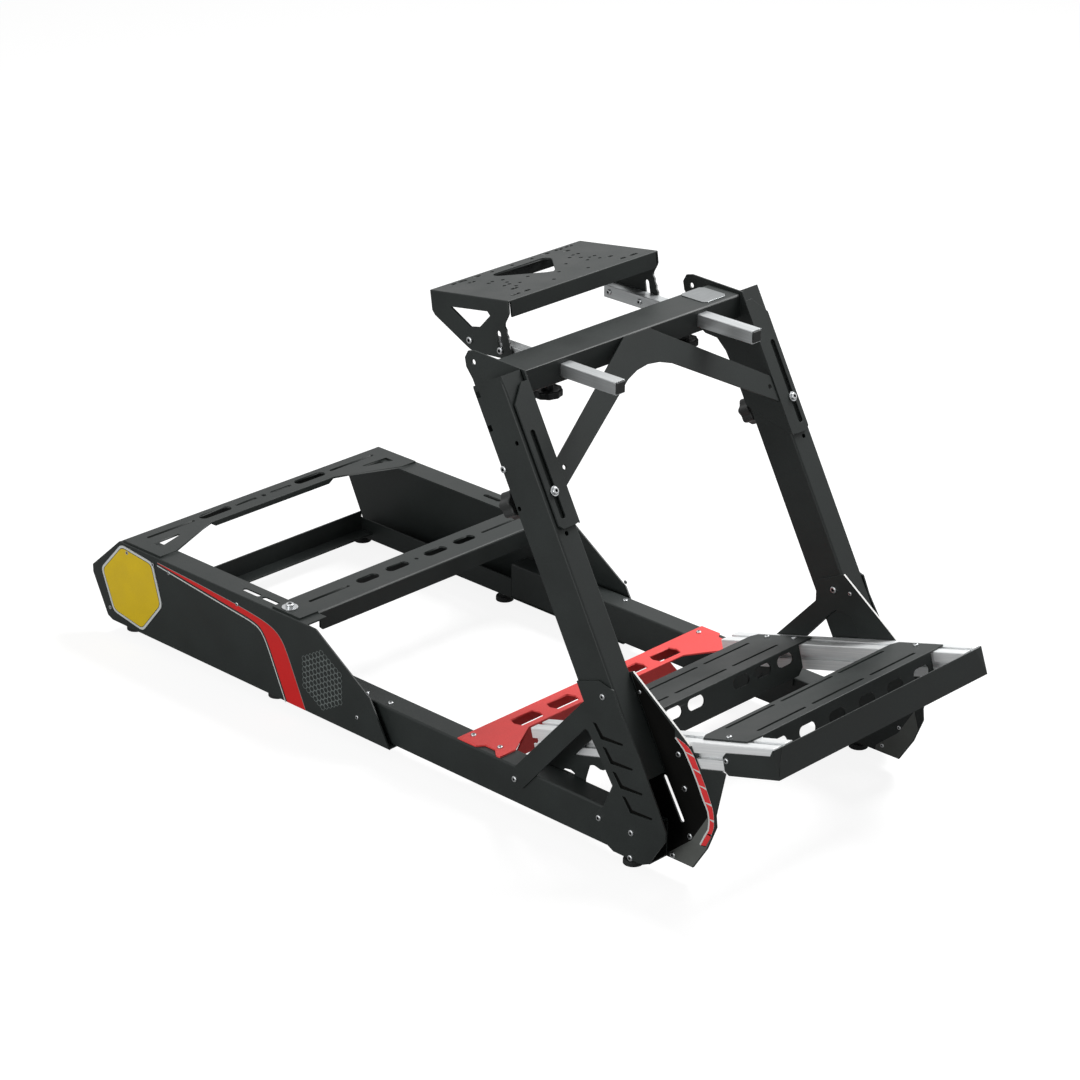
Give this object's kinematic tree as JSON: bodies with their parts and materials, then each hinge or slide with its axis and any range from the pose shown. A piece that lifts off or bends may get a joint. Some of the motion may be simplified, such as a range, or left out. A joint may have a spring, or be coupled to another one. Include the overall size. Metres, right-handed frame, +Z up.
{
  "type": "sim racing cockpit",
  "caption": "Open steel frame for sim racing with folded side panels, seat bars, a pedal tray on slotted rails and a wheel deck that slides and tilts on leaning uprights.",
  "frame": {"origin": "centre of the footprint on the floor", "axes": "+X forward to the pedals, +Y to the driver's left, +Z up"},
  "size_m": [1.4129, 0.5732, 0.7334],
  "materials": {
    "black_powder_coat": "matt black powder coat",
    "red_powder_coat": "matt red powder coat",
    "yellow_plate": "printed yellow plate",
    "anodised_aluminium": "satin anodised",
    "brushed_plate": "brushed",
    "zinc_steel": "zinc plated",
    "black_plastic": "matt black",
    "black_rubber": "matt black"
  },
  "bodies": {
    "chassis": {"right_side_panel": "black_powder_coat", "right_number_plate": "yellow_plate", "right_lower_rail": "black_powder_coat", "right_upright": "black_powder_coat", "right_outer_gusset": "black_powder_coat", "right_inner_gusset": "black_powder_coat", "right_pedal_rail": "anodised_aluminium", "right_rear_foot": "black_rubber", "right_mid_foot": "black_rubber", "right_front_foot": "black_rubber", "right_height_knob": "black_plastic", "left_side_panel": "black_powder_coat", "left_number_plate": "yellow_plate", "left_lower_rail": "black_powder_coat", "left_upright": "black_powder_coat", "left_outer_gusset": "black_powder_coat", "left_inner_gusset": "black_powder_coat", "left_pedal_rail": "anodised_aluminium", "left_rear_foot": "black_rubber", "left_mid_foot": "black_rubber", "left_front_foot": "black_rubber", "left_height_knob": "black_plastic", "rear_seat_bar": "black_powder_coat", "front_seat_bar": "black_powder_coat", "rear_cross_member": "black_powder_coat", "rear_pedal_plate": "black_powder_coat", "front_pedal_plate": "black_powder_coat", "front_bumper": "black_powder_coat", "heel_rest": "red_powder_coat"},
    "carriage": {"right_slide_bracket": "black_powder_coat", "right_arm_knob": "black_plastic", "left_slide_bracket": "black_powder_coat", "left_arm_knob": "black_plastic", "wheel_beam": "black_powder_coat", "beam_brace": "black_powder_coat", "label_plate": "brushed_plate"},
    "arms": {"right_reach_arm": "anodised_aluminium", "right_tilt_pivot_bolt": "zinc_steel", "right_tilt_lock_bolt": "zinc_steel", "left_reach_arm": "anodised_aluminium", "left_tilt_pivot_bolt": "zinc_steel", "left_tilt_lock_bolt": "zinc_steel", "arm_end_caps": "black_plastic"},
    "deck": {"wheel_deck": "black_powder_coat"}
  },
  "joints": [
    {"name": "wheel_height", "type": "slide", "parent": "chassis", "child": "carriage", "axis": [-0.4802, 0, 0.8771], "range_m": [-0.085, 0.035]},
    {"name": "arm_reach", "type": "slide", "parent": "carriage", "child": "arms", "axis": [1, 0, 0], "range_m": [-0.08, 0.008]},
    {"name": "deck_tilt", "type": "hinge", "parent": "arms", "child": "deck", "pos_m": [0.04, 0, 0.655], "axis": [0, 1, 0], "range_deg": [0, 22]}
  ]
}
